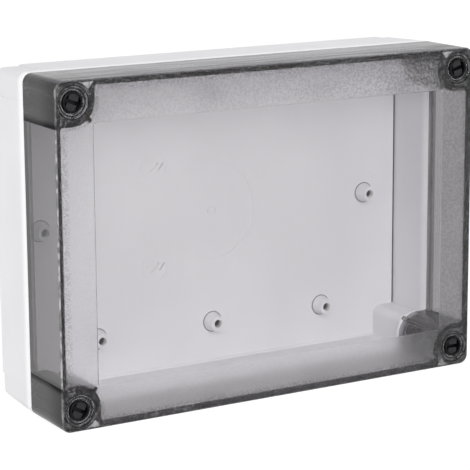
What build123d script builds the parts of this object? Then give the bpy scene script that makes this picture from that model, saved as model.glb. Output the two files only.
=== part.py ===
"""Wall-mount polycarbonate enclosure with a deep smoked cover, standing on its long side.

X is the width, Y the depth (the cover faces -Y, the wall side +Y) and Z the height.
The origin is the middle of the footprint, on the surface that the box stands on.
"""
import os
from build123d import *

# Overall box, in millimetres
width = 255.0
height = 180.0
depth = 75.0
cover_depth = 38.0
corner_radius = 5.0

# Base shell
base_wall = 3.5
base_floor = 3.5
base_inner_radius = 2.0
corner_draft = 1.3
panel_draft = 0.4
panel_end_margin = 15.0
back_edge_radius = 1.2
rim_band = 3.0
parting_chamfer = 0.4

# Cover shell
cover_wall = 3.5
front_plate = 3.2
front_edge_radius = 1.2
window_side_margin = 20.5
window_end_margin = 22.0
window_corner_radius = 2.3
window_rise = 0.4
window_edge_radius = 0.25
rim_gap = 0.05

# Cover screws stand in the four corners, outside the seal
screw_inset_x = 10.0
screw_inset_z = 11.0
tube_radius = 8.4
seal_arc_radius = 12.7
seal_arc_wall = 3.1
seal_corner_radius = 1.2
locating_fin_width = 2.2
locating_fin_reach = 2.2
fin_end_gap = 0.5

# Seal: a rib on the base presses a foam strip in a groove in the cover
groove_width = 1.9
groove_depth = 4.0
rib_width = 1.1
rib_height = 2.4
gasket_fit_gap = 0.03
gasket_face_gap = 0.1

# Screw, its ring and the bores that it runs in
head_radius = 5.5
head_height = 6.5
head_below_face = 0.3
head_well_gap = 0.4
head_seat_gap = 0.1
collar_radius = 8.2
collar_depth = 1.2
collar_edge_chamfer = 0.3
well_edge_chamfer = 0.25
shank_radius = 3.0
shank_gap = 0.3
thread_gap = 0.08
thread_engagement = 12.0
tip_chamfer = 1.0
tip_room = 3.0
ring_groove_depth = 0.5
ring_thickness = 1.4
ring_outer_radius = 4.6
ring_play = 0.1
ring_bore_gap = 0.05
ring_gap_angle = 70.0
ring_chamber_gap = 0.5
shoulder_below_seat = 6.3

# Driver recess in the screw head
cup_radius = 4.4
cup_depth = 3.2
land_drop = 0.8
land_width = 5.4
slot_width = 2.0
head_rim_radius = 0.4
slot_angles = {"top_left": -21.0, "top_right": 14.0, "bottom_left": -29.0, "bottom_right": -2.0}

# Base corner columns
column_side_x = 17.75
column_side_z = 21.0
column_corner_radius = 5.0
column_wall = 2.6
column_post_half_height = 5.2
rim_flange = 2.0

# Blind holes in the back of the columns, for the screws of wall lugs
lug_hole_radius = 1.75
lug_hole_depth = 12.0

# Posts on the floor that carry a board or a mounting plate
post_span_x = 145.0
post_span_z = 127.0
post_end_span_x = 204.0
post_height = 7.0
post_foot_radius = 5.6
post_top_radius = 4.1
post_hole_radius = 2.3
post_hole_depth = 8.5
post_ring_radius = 6.4
post_ring_height = 0.4

# Where the floor meets the walls: a groove at both ends, a chamfer along the long sides
foot_groove_width = 1.0
foot_groove_depth = 1.8
foot_chamfer = 1.4

# Shallow mould marks on the floor, left without lettering
disc_radius = 27.5
disc_step = 0.5
gate_mark_radius = 3.0
gate_mark_width = 1.1
gate_mark_depth = 0.6
mark_offset_x = 36.5
mark_offset_z = 28.0
mark_ring_radius = 7.9
mark_ring_width = 0.4
mark_step = 0.2
mark_slot_length = 7.5
mark_slot_width = 1.9
mark_slot_depth = 1.2
mark_slot_angle = 38.0
mark_tick_length = 5.0
mark_tick_width = 0.9
mark_tick_offset = 4.8
mark_tick_angle = 51.0

# Values that follow from the sizes above
middle_z = height / 2
front_y = -depth / 2
frame_y = front_y + window_rise
back_y = depth / 2
parting_y = front_y + cover_depth
floor_y = back_y - base_floor
plate_inner_y = frame_y + front_plate
screw_x = width / 2 - screw_inset_x
screw_z = height / 2 - screw_inset_z
seal_middle_radius = seal_arc_radius - seal_arc_wall / 2
seat_y = frame_y + head_below_face + head_height
shoulder_y = seat_y + shoulder_below_seat
ring_front_y = shoulder_y + thread_engagement
tip_y = parting_y + thread_engagement
corners = {
    "top_left": (-1, 1),
    "top_right": (1, 1),
    "bottom_left": (-1, -1),
    "bottom_right": (1, -1),
}


def facing(y, x=0.0, z=0.0):
    """A drawing plane at one depth that looks out of the front of the box."""
    return Plane(origin=(x, y, middle_z + z), x_dir=(1, 0, 0), z_dir=(0, -1, 0))


def prism(outline, y_back, y_front):
    """An outline drawn from the front, standing from y_back forward to y_front."""
    return extrude(facing(y_back) * outline, y_back - y_front)


def rod(radius, y_back, y_front, x=0.0, z=0.0):
    """A round bar or bore along the depth, at a place measured from the box's middle."""
    return extrude(facing(y_back, x, z) * Circle(radius), y_back - y_front)


def bevelled_bore(radius, y_back, y_front, bevel, x, z):
    """A round bore whose mouth widens by a bevel."""
    cone = loft([
        (facing(y_front + bevel, x, z) * Circle(radius)).face(),
        (facing(y_front, x, z) * Circle(radius + bevel)).face(),
    ])
    return rod(radius, y_back, y_front, x, z) + cone


def mirrored_corners(outline):
    """The same outline in all four corners, from the one drawn at the top right."""
    upper = outline + mirror(outline, Plane.YZ)
    return upper + mirror(upper, Plane.XZ)


def block(x_low, x_high, z_low, z_high):
    """A rectangle given by its sides."""
    middle = Pos((x_low + x_high) / 2, (z_low + z_high) / 2)
    return middle * Rectangle(x_high - x_low, z_high - z_low)


def corner_lobe(radius):
    """The area round the top right screw: straight to both walls, round towards the middle."""
    across = block(screw_x, width / 2, screw_z - radius, height / 2)
    up = block(screw_x - radius, width / 2, screw_z, height / 2)
    return across + up + Pos(screw_x, screw_z) * Circle(radius)


def sealed_area(inset, radius, rounding):
    """What the seal goes round: the box inside its walls, less the four screw corners."""
    area = Rectangle(width - 2 * inset, height - 2 * inset)
    area -= mirrored_corners(corner_lobe(radius))
    near_wall = [
        point
        for point in area.vertices()
        if abs(abs(point.X) - (width / 2 - inset)) < 0.01 or abs(abs(point.Y) - (height / 2 - inset)) < 0.01
    ]
    return fillet(near_wall, rounding)


def seal_band(band_width):
    """A band of one width along the middle of the walls and round the screws."""
    middle = cover_wall / 2
    half = band_width / 2
    outer = sealed_area(middle - half, seal_middle_radius - half, seal_corner_radius + half)
    inner = sealed_area(middle + half, seal_middle_radius + half, seal_corner_radius - half)
    return outer - inner


def drafted_slab(front_outline, back_outline):
    """A slab from behind the rim to the back, between two outlines."""
    front = facing(parting_y + rim_band) * front_outline
    back = facing(back_y) * back_outline
    return loft([front.face(), back.face()])


def back_edges(slab):
    """The edges round the back face of a slab."""
    return slab.faces().sort_by(Axis.Y)[-1].edges()


def make_outer_base():
    """Outside of the base: a straight rim, drafted corners and a flatter panel on each side."""
    rim_outline = RectangleRounded(width, height, corner_radius)
    rim = prism(rim_outline, parting_y + rim_band, parting_y)
    rim = chamfer(rim.faces().sort_by(Axis.Y)[0].edges(), parting_chamfer)

    back_outline = RectangleRounded(width - 2 * corner_draft, height - 2 * corner_draft, corner_radius)
    corner_slab = drafted_slab(rim_outline, back_outline)
    corner_slab = fillet(back_edges(corner_slab), back_edge_radius)

    panel_width = width - 2 * panel_end_margin
    upright = drafted_slab(Rectangle(panel_width, height), Rectangle(panel_width, height - 2 * panel_draft))
    upright = fillet(back_edges(upright).filter_by(Axis.X), back_edge_radius)

    panel_height = height - 2 * panel_end_margin
    across = drafted_slab(Rectangle(width, panel_height), Rectangle(width - 2 * panel_draft, panel_height))
    across = fillet(back_edges(across).filter_by(Axis.Z), back_edge_radius)
    return rim + corner_slab + upright + across


def column_footprint():
    """One base corner column, drawn at the top right, with its inner corner rounded."""
    low_x = width / 2 - column_side_x
    low_z = height / 2 - column_side_z
    shape = block(low_x, width / 2, low_z, height / 2)
    inner_corner = shape.vertices().sort_by(lambda point: point.X + point.Y)[0]
    return fillet(inner_corner, column_corner_radius)


def column_slots():
    """The slots in a column below and above its screw post, drawn at the top right."""
    low_x = width / 2 - column_side_x + column_wall
    low_z = height / 2 - column_side_z + column_wall
    high_x = width / 2 - base_wall
    high_z = height / 2 - base_wall
    below = block(low_x, high_x, low_z, screw_z - column_post_half_height)
    above = block(low_x, high_x, screw_z + column_post_half_height, high_z)
    return below + above


def make_floor_posts():
    """The posts for a board or plate: four corners, two middles and two ends."""
    places = [(sx * post_span_x / 2, sz * post_span_z / 2) for sx in (-1, 1) for sz in (-1, 1)]
    places += [(0.0, sz * post_span_z / 2) for sz in (-1, 1)]
    places += [(sx * post_end_span_x / 2, 0.0) for sx in (-1, 1)]
    posts = []
    for x, z in places:
        foot = facing(floor_y, x, z) * Circle(post_foot_radius)
        top = facing(floor_y - post_height, x, z) * Circle(post_top_radius)
        post = loft([foot.face(), top.face()])
        post += rod(post_ring_radius, floor_y + post_ring_height, floor_y - post_ring_height, x, z)
        hole_back = floor_y - post_height + post_hole_depth
        posts.append((post, rod(post_hole_radius, hole_back, floor_y - post_height, x, z)))
    return posts


def ring_groove(radius, ring_width, y_back, y_front, x=0.0, z=0.0):
    """A round groove of one width, measured inwards from its outer radius."""
    ring = Circle(radius) - Circle(radius - ring_width)
    return extrude(facing(y_back, x, z) * ring, y_back - y_front)


def make_floor_marks():
    """The bare disc with its gate mark and the two slotted mould marks, as shallow cuts."""
    disc_y = floor_y + disc_step
    marks = [rod(disc_radius, disc_y, floor_y)]
    marks.append(ring_groove(gate_mark_radius, gate_mark_width, disc_y + gate_mark_depth, disc_y))
    long_slot = Rot(0, 0, mark_slot_angle) * SlotOverall(mark_slot_length, mark_slot_width)
    tick = Rot(0, 0, mark_tick_angle) * SlotOverall(mark_tick_length, mark_tick_width)
    tick = Pos(mark_tick_offset, 0) * tick
    for side in (-1, 1):
        x, z = -mark_offset_x, side * mark_offset_z
        marks.append(ring_groove(mark_ring_radius, mark_ring_width, floor_y + mark_step, floor_y, x, z))
        for slot in (long_slot, tick):
            marks.append(extrude(facing(floor_y + mark_slot_depth, x, z) * slot, mark_slot_depth))
    return marks


def make_foot_chamfers():
    """Two triangular strips between the corner columns, where the floor meets the long walls."""
    length = width - 2 * column_side_x
    strips = []
    for side in (-1, 1):
        wall_z = middle_z + side * (height / 2 - base_wall)
        triangle = Polygon(
            (floor_y, wall_z),
            (floor_y - foot_chamfer, wall_z),
            (floor_y, wall_z - side * foot_chamfer),
            align=None,
        )
        strips.append(extrude(Plane.YZ * triangle, length / 2, both=True))
    return strips


def make_foot_grooves():
    """Two straight grooves in the floor at the foot of the end walls."""
    length = height - 2 * column_side_z
    middle_x = width / 2 - base_wall - foot_groove_width / 2
    grooves = []
    for side in (-1, 1):
        outline = Pos(side * middle_x, 0) * Rectangle(foot_groove_width, length)
        grooves.append(prism(outline, floor_y + foot_groove_depth, floor_y))
    return grooves


def make_base():
    """Base tray: walls, floor, corner columns, seal rib, posts and bores."""
    base = make_outer_base()
    room = RectangleRounded(width - 2 * base_wall, height - 2 * base_wall, base_inner_radius)
    room -= mirrored_corners(column_footprint())
    rim_room = sealed_area(base_wall, seal_arc_radius, seal_corner_radius)
    base -= prism(room & rim_room, floor_y, parting_y)
    base -= prism(room, floor_y, parting_y + rim_flange)
    base -= prism(mirrored_corners(column_slots()), floor_y, parting_y)

    for post, hole in make_floor_posts():
        base += post
        base -= hole
    for strip in make_foot_chamfers():
        base += strip
    for cut in make_floor_marks() + make_foot_grooves():
        base -= cut

    base += prism(seal_band(rib_width), parting_y, parting_y - rib_height)
    for side_x, side_z in corners.values():
        x, z = side_x * screw_x, side_z * screw_z
        base -= rod(shank_radius + thread_gap, tip_y + tip_room, parting_y, x, z)
        base -= rod(lug_hole_radius, back_y, back_y - lug_hole_depth, x, z)
    return base


def make_cover():
    """Cover: one clear moulding with the window, the seal wall, screw tubes and fins."""
    cover = prism(RectangleRounded(width, height, corner_radius), parting_y - rim_gap, frame_y)
    cover = fillet(cover.faces().sort_by(Axis.Y)[0].edges(), front_edge_radius)
    cover = chamfer(cover.faces().sort_by(Axis.Y)[-1].edges(), parting_chamfer)

    window = RectangleRounded(
        width - 2 * window_side_margin, height - 2 * window_end_margin, window_corner_radius
    )
    pane = prism(window, frame_y + window_rise, front_y)
    cover += fillet(pane.faces().sort_by(Axis.Y)[0].edges(), window_edge_radius)

    cover -= prism(sealed_area(cover_wall, seal_arc_radius, seal_corner_radius), parting_y, plate_inner_y)

    leg_face = seal_arc_radius - seal_arc_wall
    outer_x = width / 2 - cover_wall
    outer_z = height / 2 - cover_wall
    pocket = block(screw_x - leg_face, outer_x, screw_z, outer_z)
    pocket += block(screw_x, outer_x, screw_z - leg_face, outer_z)
    pocket -= Pos(screw_x, screw_z) * Circle(tube_radius)
    cover -= prism(mirrored_corners(pocket), parting_y, plate_inner_y)

    fin_length = seal_arc_radius + locating_fin_reach - (seal_arc_radius - seal_arc_wall / 2)
    fin_middle = seal_arc_radius + locating_fin_reach - fin_length / 2
    fin = Pos(-fin_middle, 0) * Rectangle(fin_length, locating_fin_width)
    fin = Pos(screw_x, screw_z) * Rot(0, 0, 45) * fin
    cover += prism(mirrored_corners(fin), parting_y - fin_end_gap, plate_inner_y)

    cover -= prism(seal_band(groove_width), parting_y, parting_y - groove_depth)
    for side_x, side_z in corners.values():
        x, z = side_x * screw_x, side_z * screw_z
        cover -= bevelled_bore(collar_radius, frame_y + collar_depth, frame_y, collar_edge_chamfer, x, z)
        well_mouth = frame_y + collar_depth
        cover -= bevelled_bore(
            head_radius + head_well_gap, seat_y + head_seat_gap, well_mouth, well_edge_chamfer, x, z
        )
        cover -= rod(shank_radius + shank_gap, shoulder_y, seat_y, x, z)
        cover -= rod(ring_outer_radius + ring_chamber_gap, parting_y, shoulder_y, x, z)
    return cover


def make_gasket():
    """Foam strip in the bottom of the cover's groove, just clear of the rib's crest."""
    strip = seal_band(groove_width - 2 * gasket_fit_gap)
    y_back = parting_y - rib_height - gasket_face_gap
    return prism(strip, y_back, parting_y - groove_depth + gasket_fit_gap)


def make_screw(x, z, slot_angle):
    """Captive cover screw: cup head with two lands and a slot, plain shank, ring groove and tip."""
    head_y = seat_y - head_height
    head = rod(head_radius, seat_y, head_y, x, z)
    head = fillet(head.faces().sort_by(Axis.Y)[0].edges(), head_rim_radius)
    head -= rod(cup_radius, head_y + cup_depth, head_y, x, z)

    turn = Rot(0, 0, slot_angle)
    lands = Circle(cup_radius) & Rectangle(land_width, 2 * cup_radius)
    lands -= Rectangle(land_width, slot_width)
    head += extrude(facing(head_y + cup_depth, x, z) * turn * lands, cup_depth - land_drop)

    shank = rod(shank_radius, tip_y, seat_y, x, z)
    shank = chamfer(shank.faces().sort_by(Axis.Y)[-1].edges(), tip_chamfer)
    waist = rod(shank_radius, ring_front_y + ring_thickness + 2 * ring_play, ring_front_y, x, z)
    waist -= rod(
        shank_radius - ring_groove_depth, ring_front_y + ring_thickness + 2 * ring_play, ring_front_y, x, z
    )
    return head + shank - waist


def make_ring(x, z):
    """Snap ring in the screw's groove, open towards the top, that keeps the screw in the cover."""
    front = ring_front_y + ring_play
    ring = rod(ring_outer_radius, front + ring_thickness, front, x, z)
    ring -= rod(shank_radius - ring_groove_depth + ring_bore_gap, front + ring_thickness, front, x, z)
    gap = facing(front + ring_thickness, x, z) * Polygon(
        (0, 0),
        polar_point(2 * ring_outer_radius, 90 - ring_gap_angle / 2),
        polar_point(2 * ring_outer_radius, 90 + ring_gap_angle / 2),
        align=None,
    )
    return ring - extrude(gap, ring_thickness)


def polar_point(radius, degrees):
    """A point at a radius and an angle from +X."""
    point = Vector(radius, 0).rotate(Axis.Z, degrees)
    return (point.X, point.Y)


os.makedirs("parts", exist_ok=True)
export_step(make_base(), "parts/base.step")
export_step(make_cover(), "parts/cover.step")
export_step(make_gasket(), "parts/gasket.step")
for corner, (side_x, side_z) in corners.items():
    x, z = side_x * screw_x, side_z * screw_z
    export_step(make_screw(x, z, slot_angles[corner]), f"parts/cover_screw_{corner}.step")
    export_step(make_ring(x, z), f"parts/retaining_ring_{corner}.step")
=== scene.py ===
# %% [markdown]
# # A wall-mount enclosure with a smoked cover
#
# The object is a sealed polycarbonate box for electrical equipment. A light grey base tray carries
# the board, and a deep cover of smoked, see-through polycarbonate closes it. Black screws in the
# four corners hold the cover down. The solids come from the CAD model, which is loaded here as a
# fixed frame. This script gives every solid its finish, adds the screw threads, and sets up the
# floor, the light and the camera.

# %% The frame
import math
from types import SimpleNamespace

import bmesh
import bpy
from mathutils import Matrix, Vector


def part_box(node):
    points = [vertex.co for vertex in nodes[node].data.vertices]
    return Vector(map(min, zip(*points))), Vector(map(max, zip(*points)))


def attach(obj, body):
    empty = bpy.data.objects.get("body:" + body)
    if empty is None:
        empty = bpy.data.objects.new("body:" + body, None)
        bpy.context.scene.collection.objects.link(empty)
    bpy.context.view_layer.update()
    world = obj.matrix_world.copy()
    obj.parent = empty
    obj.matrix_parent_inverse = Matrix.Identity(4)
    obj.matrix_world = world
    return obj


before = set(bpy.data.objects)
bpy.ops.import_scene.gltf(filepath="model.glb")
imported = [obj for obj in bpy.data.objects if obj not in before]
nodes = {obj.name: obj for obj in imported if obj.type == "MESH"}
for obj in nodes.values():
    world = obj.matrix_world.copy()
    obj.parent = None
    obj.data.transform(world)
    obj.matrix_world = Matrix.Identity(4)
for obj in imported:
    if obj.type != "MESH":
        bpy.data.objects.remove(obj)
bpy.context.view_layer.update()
corners = ("top_left", "top_right", "bottom_left", "bottom_right")
print("nodes:", ", ".join(sorted(nodes)))

# %% [markdown]
# ## The camera
#
# The photograph was taken with a long lens, from the left of the enclosure and a little above it.
# A camera can be placed by hand, or worked out from a few edges of the object whose real sizes are
# known. The second way was chosen here: three numbers say where the camera stands round the box,
# one more tilts it a little, and the lens makes the box fill the picture as in the photograph.

# %% The camera
millimetre = 0.001
view_azimuth = math.radians(-30.549)
view_elevation = math.radians(12.216)
view_roll = math.radians(-0.341)
view_distance = 1100.46 * millimetre
view_centre = Vector((-3.61, 0.24, 82.47)) * millimetre
lens_mm = 154.976

towards_camera = Vector((
    math.sin(view_azimuth) * math.cos(view_elevation),
    -math.cos(view_azimuth) * math.cos(view_elevation),
    math.sin(view_elevation),
))
camera_data = bpy.data.cameras.new("photo_camera")
camera_data.lens = lens_mm
camera = bpy.data.objects.new("photo_camera", camera_data)
camera.location = view_centre + towards_camera * view_distance
facing_box = towards_camera.to_track_quat("Z", "Y")
camera.rotation_euler = (facing_box.to_matrix() @ Matrix.Rotation(view_roll, 3, "Z")).to_euler()
bpy.context.scene.collection.objects.link(camera)
bpy.context.scene.camera = camera
print("camera stands at", [round(value, 3) for value in camera.location])

# %% [markdown]
# ## Writing shader maths
#
# A procedural finish is a sum of masks and noises. Wired by hand, each plus or times is a Math node
# and two links. The small class below wraps a socket, so that an expression such as
# `1 - mask * 0.5` adds those nodes by itself. Any other node comes from `add_node`, and a few short
# helpers give the ones that come back most.


# %% Signals
class Signal:
    """One number or colour that flows through a material's nodes."""

    def __init__(self, material, socket):
        self.material = material
        self.socket = socket

    def maths(self, operation, *values):
        sockets = dict(enumerate(values))
        return add_node(self.material, "ShaderNodeMath", {"operation": operation}, sockets)

    def __add__(self, other):
        return self.maths("ADD", self, other)

    def __radd__(self, other):
        return self.maths("ADD", other, self)

    def __sub__(self, other):
        return self.maths("SUBTRACT", self, other)

    def __rsub__(self, other):
        return self.maths("SUBTRACT", other, self)

    def __mul__(self, other):
        return self.maths("MULTIPLY", self, other)

    def __rmul__(self, other):
        return self.maths("MULTIPLY", other, self)

    def __abs__(self):
        return self.maths("ABSOLUTE", self)

    def __gt__(self, other):
        return self.maths("GREATER_THAN", self, other)

    def __lt__(self, other):
        return self.maths("LESS_THAN", self, other)

    def larger(self, other):
        return self.maths("MAXIMUM", self, other)

    def smaller(self, other):
        return self.maths("MINIMUM", self, other)

    def root(self):
        return self.maths("SQRT", self)


# %% Nodes and materials
def add_node(material, kind, settings=None, sockets=None, output=None):
    """Adds a node to a material: its settings first, then each socket's value or link."""
    node = material.node_tree.nodes.new(kind)
    for name, value in (settings or {}).items():
        setattr(node, name, value)
    # A Mix node has one set of sockets for each kind of data, and only the set in use is enabled
    enabled = {socket.name: socket for socket in node.inputs if socket.enabled}
    for name, value in (sockets or {}).items():
        socket = enabled[name] if name in enabled else node.inputs[name]
        if isinstance(value, Signal):
            material.node_tree.links.new(value.socket, socket)
        else:
            socket.default_value = value
    if output is None:
        return Signal(material, next(socket for socket in node.outputs if socket.enabled))
    return Signal(material, node.outputs[output])


def new_material(name):
    """An empty node material, and the place on the piece that its patterns follow."""
    material = bpy.data.materials.new(name)
    material.use_nodes = True
    material.node_tree.nodes.clear()
    place = add_node(material, "ShaderNodeTexCoord", output="Object")
    return material, place


def show(material, surface, volume=None, kind="ShaderNodeOutputMaterial"):
    """Links a shader to the output of a material or a world."""
    sockets = {"Surface": surface}
    if volume is not None:
        sockets["Volume"] = volume
    output = material.node_tree.nodes.new(kind)
    for name, signal in sockets.items():
        material.node_tree.links.new(signal.socket, output.inputs[name])


# %% Patterns and blends
def noise(material, place, size, detail=2.0, roughness=0.5):
    """Noise from 0 to 1 whose spots are about as wide as size, in metres."""
    sockets = {"Vector": place, "Scale": 1 / size, "Detail": detail, "Roughness": roughness}
    return add_node(material, "ShaderNodeTexNoise", {}, sockets)


def ramp(material, signal, low, high, start=0.0, end=1.0):
    """Goes smoothly from start to end while the signal goes from low to high."""
    sockets = {"Value": signal, "From Min": low, "From Max": high, "To Min": start, "To Max": end}
    return add_node(material, "ShaderNodeMapRange", {"interpolation_type": "SMOOTHSTEP"}, sockets)


def mix_colour(material, share, first, second):
    """A blend of two colours, by a share from 0 to 1."""
    sockets = {"Factor": share, "A": first, "B": second}
    return add_node(material, "ShaderNodeMix", {"data_type": "RGBA"}, sockets)


def layered(material, colour, layers):
    """Covers a colour with other colours, each by its own share from 0 to 1."""
    for share, layer in layers:
        colour = mix_colour(material, share, colour, layer)
    return colour


def mix_shader(material, share, first, second):
    """A blend of two shaders, by a share from 0 to 1."""
    return add_node(material, "ShaderNodeMixShader", {}, {0: share, 1: first, 2: second})


def chalk(material, colour):
    """A plain matt shader."""
    return add_node(material, "ShaderNodeBsdfDiffuse", {}, {"Color": colour})


def bump(material, height, distance, strength=1.0):
    """A normal that follows a height from 0 to 1, over a distance in metres."""
    sockets = {"Height": height, "Distance": distance, "Strength": strength}
    return add_node(material, "ShaderNodeBump", {}, sockets)


def dress(node_name, material):
    """Gives a CAD node its finish."""
    for slot in nodes[node_name].material_slots:
        slot.material = material
    print(node_name, "wears", material.name)


# %% [markdown]
# ## Finding a place on a piece
#
# Small features, such as the crease at the foot of a post, are masks here: 1 inside, 0 outside.
# They could be painted on an unwrapped picture. But this box is the same on both sides of its two
# middle planes, so a few comparisons on the piece's own coordinates find every copy of a feature
# at once. The helpers below are the words that such masks are written in.

# %% Places on a piece
middle_z = 90 * millimetre


def split_place(material, place):
    """The three coordinates of a place, as signals."""
    first = add_node(material, "ShaderNodeSeparateXYZ", {}, {"Vector": place})
    return [Signal(material, socket) for socket in first.socket.node.outputs]


def between(value, limits):
    """1 where a value lies between two limits."""
    low, high = limits
    return (value > low) * (value < high)


def distance(side, rise):
    """How far a place is from an axis, when it lies this far beside and above it."""
    return (side * side + rise * rise).root()


# %% [markdown]
# ## Light grey base
#
# The base is moulded in light grey polycarbonate from a spark-eroded mould, so its skin is a fine,
# even grain with a low sheen. A photograph of such a skin would tile, and it would stretch on the
# drafted sides. Noise in the piece's own space has neither fault: a fine noise is the grain, and a
# broad, faint one makes the sheen drift a little, as the flow of the melt does. The thin rim next
# to the cover gets a painted highlight. Masks on the coordinates paint shade into three small
# places: the grooves along the end walls, the crease at the foot of each board post and the bottom
# of its screw hole, whose mouth is painted lighter.

# %% Places on the base
# The grooves at the foot of the end walls get painted shade
foot_groove_x = 123.5 * millimetre
foot_groove_half_width = 0.52 * millimetre
foot_groove_half_length = 76 * millimetre
foot_groove_y = (34.15 * millimetre, 36.5 * millimetre)
posts_from_middle_mm = ((72.5, 63.5), (0.0, 63.5), (102.0, 0.0))
# The crease round each post's foot gets painted shade
post_foot_crease = (5.45 * millimetre, 6.0 * millimetre)
post_foot_y = (33.3 * millimetre, 34.2 * millimetre)
post_top_y = 27.0 * millimetre
post_hole_radius = 2.45 * millimetre
# Each post hole gets painted light at its mouth and painted shade towards its bottom
post_hole_y = (post_top_y + 0.1 * millimetre, 36.0 * millimetre)
post_hole_shade_y = (post_top_y + 1.2 * millimetre, post_top_y + 4.5 * millimetre)


def in_foot_groove(across, y, up):
    """1 in the narrow grooves at the foot of the end walls, which get painted shade."""
    beside = abs(across - foot_groove_x) < foot_groove_half_width
    return beside * between(y, foot_groove_y) * (up < foot_groove_half_length)


def from_nearest_post(across, up):
    """How far a place is from the axis of the nearest board post."""
    nearest = None
    for post_across, post_up in posts_from_middle_mm:
        reach = distance(across - post_across * millimetre, up - post_up * millimetre)
        nearest = reach if nearest is None else nearest.smaller(reach)
    return nearest


# %% Light grey base
polycarbonate_ior = 1.585
base_grain_size = 0.45 * millimetre
base_flow_size = 60 * millimetre
base_flow_range = (0.35, 0.65)
# The rim next to the cover gets a painted highlight over this depth
base_rim_highlight_y = (2.5 * millimetre, 8.5 * millimetre)


def make_base_plastic():
    material, place = new_material("light_grey_polycarbonate")
    x, y, z = split_place(material, place)
    across, up = abs(x), abs(z - middle_z)
    grain = noise(material, place, base_grain_size)
    flow = noise(material, place, base_flow_size)
    shaded, pale = (0.78, 0.772, 0.795, 1), (0.815, 0.807, 0.83, 1)
    open_colour = mix_colour(material, ramp(material, flow, *base_flow_range), shaded, pale)
    from_post = from_nearest_post(across, up)
    post_foot_shade = between(from_post, post_foot_crease) * between(y, post_foot_y)
    in_post_hole = (from_post < post_hole_radius) * between(y, post_hole_y)
    depth_shade = ramp(material, y, *post_hole_shade_y)
    # Painted light and shade: a highlight on the rim, shade in the foot grooves and round each
    # post's foot, light at the mouth of each post hole and shade at its bottom
    layers = (
        (ramp(material, y, *base_rim_highlight_y, 1.0, 0.0), (0.98, 0.975, 0.99, 1)),
        (in_foot_groove(across, y, up), (0.2, 0.195, 0.2, 1)),
        (post_foot_shade, (0.22, 0.215, 0.225, 1)),
        (in_post_hole * (1 - depth_shade), (0.97, 0.965, 0.98, 1)),
        (in_post_hole * depth_shade, (0.07, 0.068, 0.072, 1)),
    )
    sockets = {
        "Base Color": layered(material, open_colour, layers),
        "Roughness": 0.42 + 0.1 * grain + 0.06 * flow,
        "Normal": bump(material, grain, 0.02 * millimetre, 0.35),
        "IOR": polycarbonate_ior,
    }
    show(material, add_node(material, "ShaderNodeBsdfPrincipled", {}, sockets))
    return material


dress("base", make_base_plastic())

# %% [markdown]
# ## Smoked cover
#
# The cover is clear polycarbonate with a little black dye, so what darkens it is the length that
# the light travels in the wall: the thin window stays light, and a wall seen end-on turns dark
# grey. A see-through colour on the surface would look the same at every thickness. So the surface
# here is clear glass of polycarbonate's refractive index, and the dye is an absorbing volume. The
# next cells find the cover's places, from the front to the inside, and the last one uses them.

# %% Where a place on the cover lies
front_skin_y = -36.98 * millimetre
inner_face_y = -33.8 * millimetre
skin_x = 125.7 * millimetre
skin_z = 88.3 * millimetre
screw_place_x = 117.5 * millimetre
screw_place_z = 79.0 * millimetre


def cover_spot(material, place):
    """What the cover's masks share: how a place lies to the middle and to the nearest screw."""
    x, y, z = split_place(material, place)
    across, up = abs(x), abs(z - middle_z)
    beyond_screw, above_screw = across - screw_place_x, up - screw_place_z
    on_front = y < front_skin_y
    outermost = (across - skin_x).larger(up - skin_z) > 0
    return SimpleNamespace(
        material=material,
        x=x,
        y=y,
        z=z,
        across=across,
        up=up,
        beyond_screw=beyond_screw,
        above_screw=above_screw,
        from_screw=distance(beyond_screw, above_screw),
        on_front=on_front,
        on_side=outermost * (1 - on_front),
    )


# %% [markdown]
# ## The cover's front
#
# The front frame is textured in the mould, apart from the raised window and a ring round each
# screw, which are polished. The texture shows most at the top and on the right, and where a wall
# stands behind the plate. The right part of the frame gets painted shade. Round each screw recess
# run two painted bright rings and a painted dark crease. Painted light triangles beside the screws
# mark air behind the plate.

# %% The cover's texture
window_half_width = 107.0 * millimetre
window_half_height = 68.0 * millimetre
polished_ring = 8.8 * millimetre
top_z = (150 * millimetre, 162 * millimetre)
top_x = (-70 * millimetre, 90 * millimetre)
strength_at_top_left = 0.35
least_strength = 0.25
right_x = (95 * millimetre, 110 * millimetre)
further_across = 37.5 * millimetre
wall_behind = (82 * millimetre, 85 * millimetre)
seal_arc = 14.0 * millimetre


def texture_masks(spot):
    """Masks for the textured frame: where it is, how strong, and where a wall is behind it."""
    outside_window = (spot.across - window_half_width).larger(spot.up - window_half_height) > 0
    outside_ring = spot.from_screw > polished_ring
    to_right = ramp(spot.material, spot.x, *top_x, strength_at_top_left, 1.0)
    at_top = ramp(spot.material, spot.z, *top_z) * to_right
    at_right = ramp(spot.material, spot.x, *right_x)
    # The plate reaches this much further across than up, so one ramp serves all four walls
    from_middle = (spot.across - further_across).larger(spot.up)
    near_wall = ramp(spot.material, from_middle, *wall_behind)
    return {
        "textured": outside_window * outside_ring * spot.on_front,
        "strength": at_top.larger(at_right) * (1 - least_strength) + least_strength,
        "right": at_right,
        # The right part of the frame gets painted shade by this mask
        "thick": near_wall.larger(spot.from_screw < seal_arc),
    }


# %% Round the screw recesses
collar_edge = (8.25 * millimetre, 8.8 * millimetre)
collar_glint = (7.5 * millimetre, 8.15 * millimetre)
well_glint = (5.9 * millimetre, 6.6 * millimetre)
pocket_rise = (6.4 * millimetre, 9.75 * millimetre)
pocket_tip_x = -11.2 * millimetre
pocket_end_x = -3.0 * millimetre
pocket_slant = 0.75
pocket_radius = 10.3 * millimetre
corner_patch_rise = (3.5 * millimetre, 8.6 * millimetre)
corner_patch_x = 3.5 * millimetre
corner_patch_radius = 9.4 * millimetre
corner_patch_share = 0.18


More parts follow.
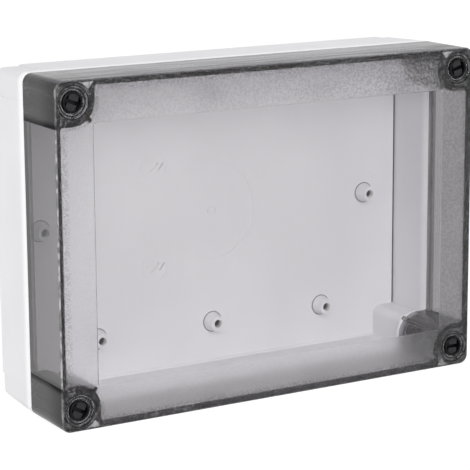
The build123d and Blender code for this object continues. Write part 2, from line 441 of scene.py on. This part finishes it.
def recess_masks(spot):
    """Masks for the painted rings round each screw recess, and painted light in the air pockets."""
    near_collar = spot.y < inner_face_y
    glints = between(spot.from_screw, collar_glint).larger(between(spot.from_screw, well_glint))
    slanted_side = pocket_tip_x + (pocket_rise[1] - spot.above_screw) * pocket_slant
    triangle = between(spot.beyond_screw, (slanted_side, pocket_end_x))
    triangle = triangle * between(spot.above_screw, pocket_rise) * (spot.from_screw > pocket_radius)
    patch = (spot.beyond_screw > corner_patch_x) * between(spot.above_screw, corner_patch_rise)
    patch = patch * (spot.from_screw > corner_patch_radius) * corner_patch_share
    return {
        # The collar edge gets painted shade, the glints are painted highlights and the pockets get
        # painted light
        "collar_edge": between(spot.from_screw, collar_edge) * near_collar,
        "glints": glints * near_collar,
        "pocket": (triangle + patch) * spot.on_front,
    }


# %% [markdown]
# ## The cover's sides and inside
#
# The sides get painted shade, and the corner blocks darker painted shade still, with a painted dark
# line at their foot and a painted shade towards the front. The dye alone leaves them too light, so
# masks paint the shade in. The long sides carry a grey painted shade with streaks. A painted
# highlight runs along the front edge. Inside, the feet of the corner blocks get a near-black
# painted shade, and painted shade darkens the glass at the seal of the end walls.

# %% The cover's sides and inside
edge_back_y = -36.1 * millimetre
block_foot = 66.2 * millimetre
block_line_end = 70.5 * millimetre
block_line_strength = 0.85
long_edge_fade = 0.65
block_shade_y = (-16 * millimetre, -36 * millimetre)
long_side_shade_y = (-8 * millimetre, -34 * millimetre)
long_side_shade_strength = (0.25, 0.55)
inner_side_x = 123.8 * millimetre
inner_side_z = 86.3 * millimetre
inner_foot_x = 116.0 * millimetre
inner_foot_rise = (66.0 * millimetre, 69.7 * millimetre)
end_wall_face = (123.3 * millimetre, 124.7 * millimetre)
seal_y = (-6.2 * millimetre, 0.6 * millimetre)


def side_masks(spot):
    """Masks of painted shade on the sides and blocks, and of the front edge's painted highlight."""
    material, on_long_side = spot.material, spot.up > skin_z
    on_block = spot.on_side * (spot.across > skin_x) * (spot.up > block_foot)
    line = ramp(material, spot.up, block_foot, block_line_end, block_line_strength, 0.0)
    return {
        "side": spot.on_side,
        "block": on_block,
        "block_line": on_block * line,
        "block_shade": on_block * ramp(material, spot.y, *block_shade_y),
        # The front edge gets a painted highlight
        "edge": spot.on_side * (spot.y < edge_back_y) * (1 - long_edge_fade * on_long_side),
        # The long sides get grey painted shade, darker towards the front
        "long_side_shade": spot.on_side * on_long_side * ramp(material, spot.y, *long_side_shade_y, *long_side_shade_strength),
    }


def inner_masks(spot):
    """Masks for the cover's inside: all of it, and painted shade at the block feet and the seal."""
    in_wall = (spot.across - inner_side_x).larger(spot.up - inner_side_z) > 0
    inside = (1 - in_wall) * (spot.y > inner_face_y)
    at_seal = between(spot.across, end_wall_face) * between(spot.y, seal_y)
    return {
        "inside": inside,
        # The block feet and the seal get painted shade
        "foot": inside * between(spot.up, inner_foot_rise) * (spot.across > inner_foot_x),
        "seal": at_seal * (spot.up < block_foot),
    }


# %% [markdown]
# ## The smoked glass
#
# One noise is the texture of the frame. Its hollows darken the glass, its peaks are a white frost,
# and it bends the light by a bump. A broader noise breaks up the painted glints, and a stretched
# one draws streaks in the painted shade of the long sides. Each share only mixes plain shaders:
# clear glass, a white frost that also carries the painted highlights, a grey painted shade and a
# near-black painted shadow. Lamps would see the glass as a solid, so for their rays it is left
# open, apart from most of the sides, and the volume still dims them.

# %% The tint of the glass
hollow_range = (0.4, 0.6)
right_shade_share = 0.6


def glass_tint_and_shade(material, masks, grain):
    """The glass's colour: clear, darker in hollows and inside, and painted shade in places."""
    hollows = 1 - ramp(material, grain, *hollow_range)
    specks = masks["textured"] * masks["strength"].larger(masks["thick"]) * hollows
    layers = (
        (specks, (0.62, 0.605, 0.63, 1)),
        # From here on, all but the inside layer are painted shade: the frame's right part, the
        # sides, the blocks, their feet, the collar edges and the seal
        (masks["textured"] * masks["right"] * right_shade_share, (0.25, 0.243, 0.255, 1)),
        (masks["side"], (0.17, 0.165, 0.173, 1)),
        (masks["block"], (0.07, 0.067, 0.072, 1)),
        (masks["inside"], (0.55, 0.54, 0.56, 1)),
        (masks["foot"], (0.03, 0.029, 0.031, 1)),
        (masks["collar_edge"], (0.06, 0.058, 0.062, 1)),
        (masks["seal"], (0.2, 0.19, 0.2, 1)),
    )
    return layered(material, (1, 1, 1, 1), layers)


# %% Frost and film on the glass
peak_range = (0.5, 0.62)
high_peak_range = (0.56, 0.68)
open_frost, open_peak_frost, lost_at_right = 0.05, 0.25, 0.13
wall_frost, wall_peak_frost = 0.01, 0.2
glint_breakup_size = 3.5 * millimetre
glint_breakup_range = (0.4, 0.62)
streak_size = 5 * millimetre
streak_range = (0.35, 0.65)
streak_depth = (0.55, 1.0)
streak_angle = math.radians(24)
streak_squeeze = 0.12


def frost_and_highlight_share(material, place, masks, grain):
    """How much is white: the texture's peaks, and painted light at glints, edge and pockets."""
    glint_breakup = ramp(material, noise(material, place, glint_breakup_size), *glint_breakup_range)
    # Less frost on the right is part of the painted shade there
    peak_share = masks["strength"] * (open_peak_frost - lost_at_right * masks["right"])
    peaks = ramp(material, grain, *peak_range) * peak_share
    high_peaks = ramp(material, grain, *high_peak_range) * wall_peak_frost
    over_air = (1 - masks["thick"]) * (open_frost + peaks)
    over_wall = masks["thick"] * (wall_frost + high_peaks)
    frosted = masks["textured"] * (over_air + over_wall)
    # Painted highlights on the collar rings and the front edge, and painted light in the pockets
    glints = masks["glints"] * (0.05 + 0.2 * glint_breakup) + masks["edge"] * (0.2 + 0.35 * glint_breakup)
    return (frosted + glints).larger(masks["pocket"] * (0.24 + 0.24 * glint_breakup))


def long_side_shade_share(material, place, masks):
    """How much of the long sides is grey painted shade, with its streaks."""
    turned = {
        "Vector": place,
        "Rotation": (0, 0, streak_angle),
        "Scale": (streak_squeeze, 1, 1),
    }
    streak = noise(material, add_node(material, "ShaderNodeMapping", {}, turned), streak_size)
    return masks["long_side_shade"] * ramp(material, streak, *streak_range, *streak_depth)


# %% The smoked glass
texture_size = 0.78 * millimetre
texture_roughness = 0.3
line_shadow, front_shadow, deepest_shadow = 0.9, 0.42, 0.93
side_closed_to_lamps = 0.85
dye_colour = (0.40, 0.38, 0.40, 1)
dye_density = 100.0


def make_smoked_plastic():
    material, place = new_material("smoked_polycarbonate")
    spot = cover_spot(material, place)
    masks = texture_masks(spot) | recess_masks(spot) | side_masks(spot) | inner_masks(spot)
    grain = noise(material, place, texture_size, detail=1.0)
    sockets = {
        "Base Color": glass_tint_and_shade(material, masks, grain),
        "Roughness": 0.01 + masks["textured"] * texture_roughness + masks["side"] * 0.01,
        "Normal": bump(material, grain * masks["textured"], 0.02 * millimetre, 0.5),
        "IOR": polycarbonate_ior,
        "Specular Tint": (0.5, 0.5, 0.5, 1),
        "Transmission Weight": 1.0,
    }
    glass = add_node(material, "ShaderNodeBsdfPrincipled", {}, sockets)
    # Painted shadow: a dark line at the foot of each corner block and a shade towards its front
    shadow_share = masks["block_line"] * line_shadow + masks["block_shade"] * front_shadow
    # The frost also carries painted highlights, and the grey and near-black layers are painted
    # shade
    coats = (
        (frost_and_highlight_share(material, place, masks, grain), (0.85, 0.84, 0.86, 1)),
        (long_side_shade_share(material, place, masks), (0.105, 0.097, 0.115, 1)),
        (shadow_share.smaller(deepest_shadow), (0.016, 0.015, 0.017, 1)),
    )
    for share, colour in coats:
        glass = mix_shader(material, share, glass, chalk(material, colour))
    open_to_lamps = add_node(material, "ShaderNodeBsdfTransparent")
    lamp_ray = add_node(material, "ShaderNodeLightPath", output="Is Shadow Ray")
    open_share = lamp_ray * (1 - side_closed_to_lamps * masks["side"])
    surface = mix_shader(material, open_share, glass, open_to_lamps)
    dye_sockets = {"Color": dye_colour, "Density": dye_density}
    dye = add_node(material, "ShaderNodeVolumeAbsorption", {}, dye_sockets)
    show(material, surface, dye)
    return material


dress("cover", make_smoked_plastic())

# %% [markdown]
# ## Gasket
#
# The seal is polyurethane foamed into the cover's groove. Only a light strip of it shows through
# the smoked wall. Small round cells are what foam looks like up close, so Voronoi cells make its
# skin.

# %% Gasket
foam_cell_size = 0.5 * millimetre


def make_foam():
    material, place = new_material("grey_foam")
    sockets = {"Vector": place, "Scale": 1 / foam_cell_size}
    cells = add_node(material, "ShaderNodeTexVoronoi", {}, sockets)
    sockets = {
        "Base Color": mix_colour(material, cells, (0.55, 0.55, 0.56, 1), (0.68, 0.68, 0.69, 1)),
        "Roughness": 0.85,
        "Normal": bump(material, cells, 0.1 * millimetre, 0.5),
    }
    show(material, add_node(material, "ShaderNodeBsdfPrincipled", {}, sockets))
    return material


dress("gasket", make_foam())

# %% [markdown]
# ## Screws and rings
#
# The cover screws are moulded in black polyamide. Their skin is glossy, and it would mirror the
# white studio, so its reflections are turned down to what the photograph shows. The two lands in
# the cup of each head are painted a little lighter, as painted light on their lit tops against the
# dark cup. The snap rings are cut from matt black acetal.

# %% Screws and rings
land_y = -36.0 * millimetre
land_tolerance = 0.05 * millimetre
black_streak_size = 2.5 * millimetre
black_grain_size = 0.3 * millimetre
nylon_ior = 1.53
dimmed_reflection = 0.12


def make_black_plastic(name, roughness, spread):
    """A black plastic, whose streaks are rougher than the rest by up to the spread."""
    material, place = new_material(name)
    streak = noise(material, place, black_streak_size, detail=3.0)
    grain = noise(material, place, black_grain_size)
    black = mix_colour(material, streak, (0.003, 0.003, 0.004, 1), (0.007, 0.007, 0.008, 1))
    y = split_place(material, place)[1]
    # The lands are painted lighter: painted light on their lit tops
    on_land = abs(y - land_y) < land_tolerance
    sockets = {
        "Base Color": mix_colour(material, on_land, black, (0.03, 0.03, 0.033, 1)),
        "Roughness": roughness + spread * streak,
        "Normal": bump(material, grain, 0.01 * millimetre, 0.3),
        "IOR": nylon_ior,
        "Specular IOR Level": dimmed_reflection,
    }
    show(material, add_node(material, "ShaderNodeBsdfPrincipled", {}, sockets))
    return material


screw_plastic = make_black_plastic("black_polyamide", 0.16, 0.12)
ring_plastic = make_black_plastic("black_acetal", 0.4, 0.15)
for corner in corners:
    dress(f"cover_screw_{corner}", screw_plastic)
    dress(f"retaining_ring_{corner}", ring_plastic)

# %% [markdown]
# ## Screw threads
#
# The CAD screws have plain shanks, so their threads are made here. They are coarse threads with
# flat-topped ridges, for plastic. A thread is one small profile that turns round the screw while it
# climbs, which is what the spin operator does: each step turns the profile and moves it along the
# axis. The ridge's root lies below the shank's skin, so that no gap shows, and each ridge rides on
# its screw's body.

# %% Screw threads
thread_pitch = 2.5 * millimetre
thread_steps_per_turn = 24
thread_turns = 7
thread_start_y = -8.4 * millimetre
thread_profile_mm = ((2.9, -0.7), (3.4, -0.22), (3.4, 0.22), (2.9, 0.7))
weld_distance = 0.001 * millimetre
sharp_angle = math.radians(30)


def make_thread(corner, material):
    """A ridge that winds along a cover screw's shank, ending where the tip's chamfer starts."""
    low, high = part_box(f"cover_screw_{corner}")
    axis_x, axis_z = ((low[i] + high[i]) / 2 for i in (0, 2))
    mesh = bmesh.new()
    ring = [
        mesh.verts.new((axis_x + radius * millimetre, thread_start_y + along * millimetre, axis_z))
        for radius, along in thread_profile_mm
    ]
    profile = mesh.faces.new(ring)
    bmesh.ops.spin(
        mesh,
        geom=[profile, *profile.edges, *profile.verts],
        cent=(axis_x, 0, axis_z),
        axis=(0, 1, 0),
        dvec=(0, thread_pitch / thread_steps_per_turn, 0),
        angle=math.tau * thread_turns,
        steps=thread_steps_per_turn * thread_turns,
        use_duplicate=False,
    )
    bmesh.ops.remove_doubles(mesh, verts=mesh.verts, dist=weld_distance)
    bmesh.ops.recalc_face_normals(mesh, faces=mesh.faces)
    name = f"thread_{corner}"
    data = bpy.data.meshes.new(name)
    mesh.to_mesh(data)
    mesh.free()
    for face in data.polygons:
        face.use_smooth = True
    data.set_sharp_from_angle(angle=sharp_angle)
    data.materials.append(material)
    thread = bpy.data.objects.new(name, data)
    bpy.context.scene.collection.objects.link(thread)
    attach(thread, f"screw_{corner}")
    return thread


for corner in corners:
    thread = make_thread(corner, screw_plastic)
    print(thread.name, "has", len(thread.data.polygons), "faces")

# %% [markdown]
# ## Floor and light
#
# The box stands on a white studio floor without a horizon. Making the floor white with more light
# would burn out the pale base, so the floor's own shader is partly lit by itself: for the camera,
# and for rays that the cover bends or mirrors, it is mostly white, and the rest comes from the
# lamps, so that the box still casts its soft shadow.


# %% Floor
floor_z = -0.25 * millimetre
floor_width = 6.0
floor_glow = 1.12
floor_glow_share = 0.85
paper_size = 40 * millimetre
paper_greys = (0.80, 0.83)


def seen_rays(material):
    """1 for rays from the camera, and for those that the cover mirrors or bends."""
    kinds = ("Camera", "Glossy", "Transmission")
    camera_ray, mirrored, bent = (
        add_node(material, "ShaderNodeLightPath", output=f"Is {kind} Ray") for kind in kinds
    )
    return camera_ray.larger(mirrored).larger(bent)


def make_floor_paper():
    material, place = new_material("studio_floor")
    darker, lighter = (chalk(material, (grey, grey, grey, 1)) for grey in paper_greys)
    paper = mix_shader(material, noise(material, place, paper_size), darker, lighter)
    glow_sockets = {"Color": (1, 1, 1, 1), "Strength": floor_glow}
    glow = add_node(material, "ShaderNodeEmission", {}, glow_sockets)
    share = seen_rays(material) * floor_glow_share
    show(material, mix_shader(material, share, paper, glow))
    return material


def make_floor():
    mesh = bmesh.new()
    low = Matrix.Translation((0, 0, floor_z))
    bmesh.ops.create_grid(mesh, x_segments=1, y_segments=1, size=floor_width / 2, matrix=low)
    data = bpy.data.meshes.new("floor")
    mesh.to_mesh(data)
    mesh.free()
    data.materials.append(make_floor_paper())
    floor = bpy.data.objects.new("floor", data)
    bpy.context.scene.collection.objects.link(floor)
    print(floor.name, "is", floor_width, "m wide, at a height of", floor_z, "m")


make_floor()

# %% [markdown]
# ## World and lamps
#
# The world does the same as the floor: what is seen behind the box is white, while the sky that
# lights it is half as bright. Three soft lamps shape the box. The key lamp stands near the camera
# and lights the floor of the tray through the window, one lamp lights the left side, and a weak
# one lights the top from behind.


# %% World
def make_world(light, background):
    """A plain sky: one strength lights the box, the other is what is seen behind it."""
    world = bpy.data.worlds.new("studio")
    bpy.context.scene.world = world
    world.use_nodes = True
    world.node_tree.nodes.clear()
    lit, white = (
        add_node(world, "ShaderNodeBackground", {}, {"Color": (1, 1, 1, 1), "Strength": strength})
        for strength in (light, background)
    )
    sky = mix_shader(world, seen_rays(world), lit, white)
    show(world, sky, kind="ShaderNodeOutputWorld")
    print("the sky lights at", light, "and shows at", background)


make_world(light=0.5, background=1.0)

# %% Lamps
box_middle = Vector((0, 0, middle_z))


def add_lamp(name, place, width, height, power):
    """A soft rectangular lamp that looks at the middle of the box."""
    data = bpy.data.lights.new(name, "AREA")
    data.shape = "RECTANGLE"
    data.size = width
    data.size_y = height
    data.energy = power
    lamp = bpy.data.objects.new(name, data)
    lamp.location = place
    lamp.rotation_euler = (Vector(place) - box_middle).to_track_quat("Z", "Y").to_euler()
    bpy.context.scene.collection.objects.link(lamp)
    print(name, "shines with", power, "W from", place)


add_lamp("key_lamp", (-0.55, -1.52, 0.78), width=0.9, height=0.9, power=16)
add_lamp("side_lamp", (-1.9, 0.6, 0.1), width=1.0, height=0.5, power=14)
add_lamp("top_lamp", (1.0, 0.9, 1.8), width=1.4, height=1.0, power=9)

# %% [markdown]
# ## The view transform
#
# The picture uses Blender's Standard view, so a colour renders about as it is written.

# %% The view transform
bpy.context.scene.view_settings.view_transform = "Standard"
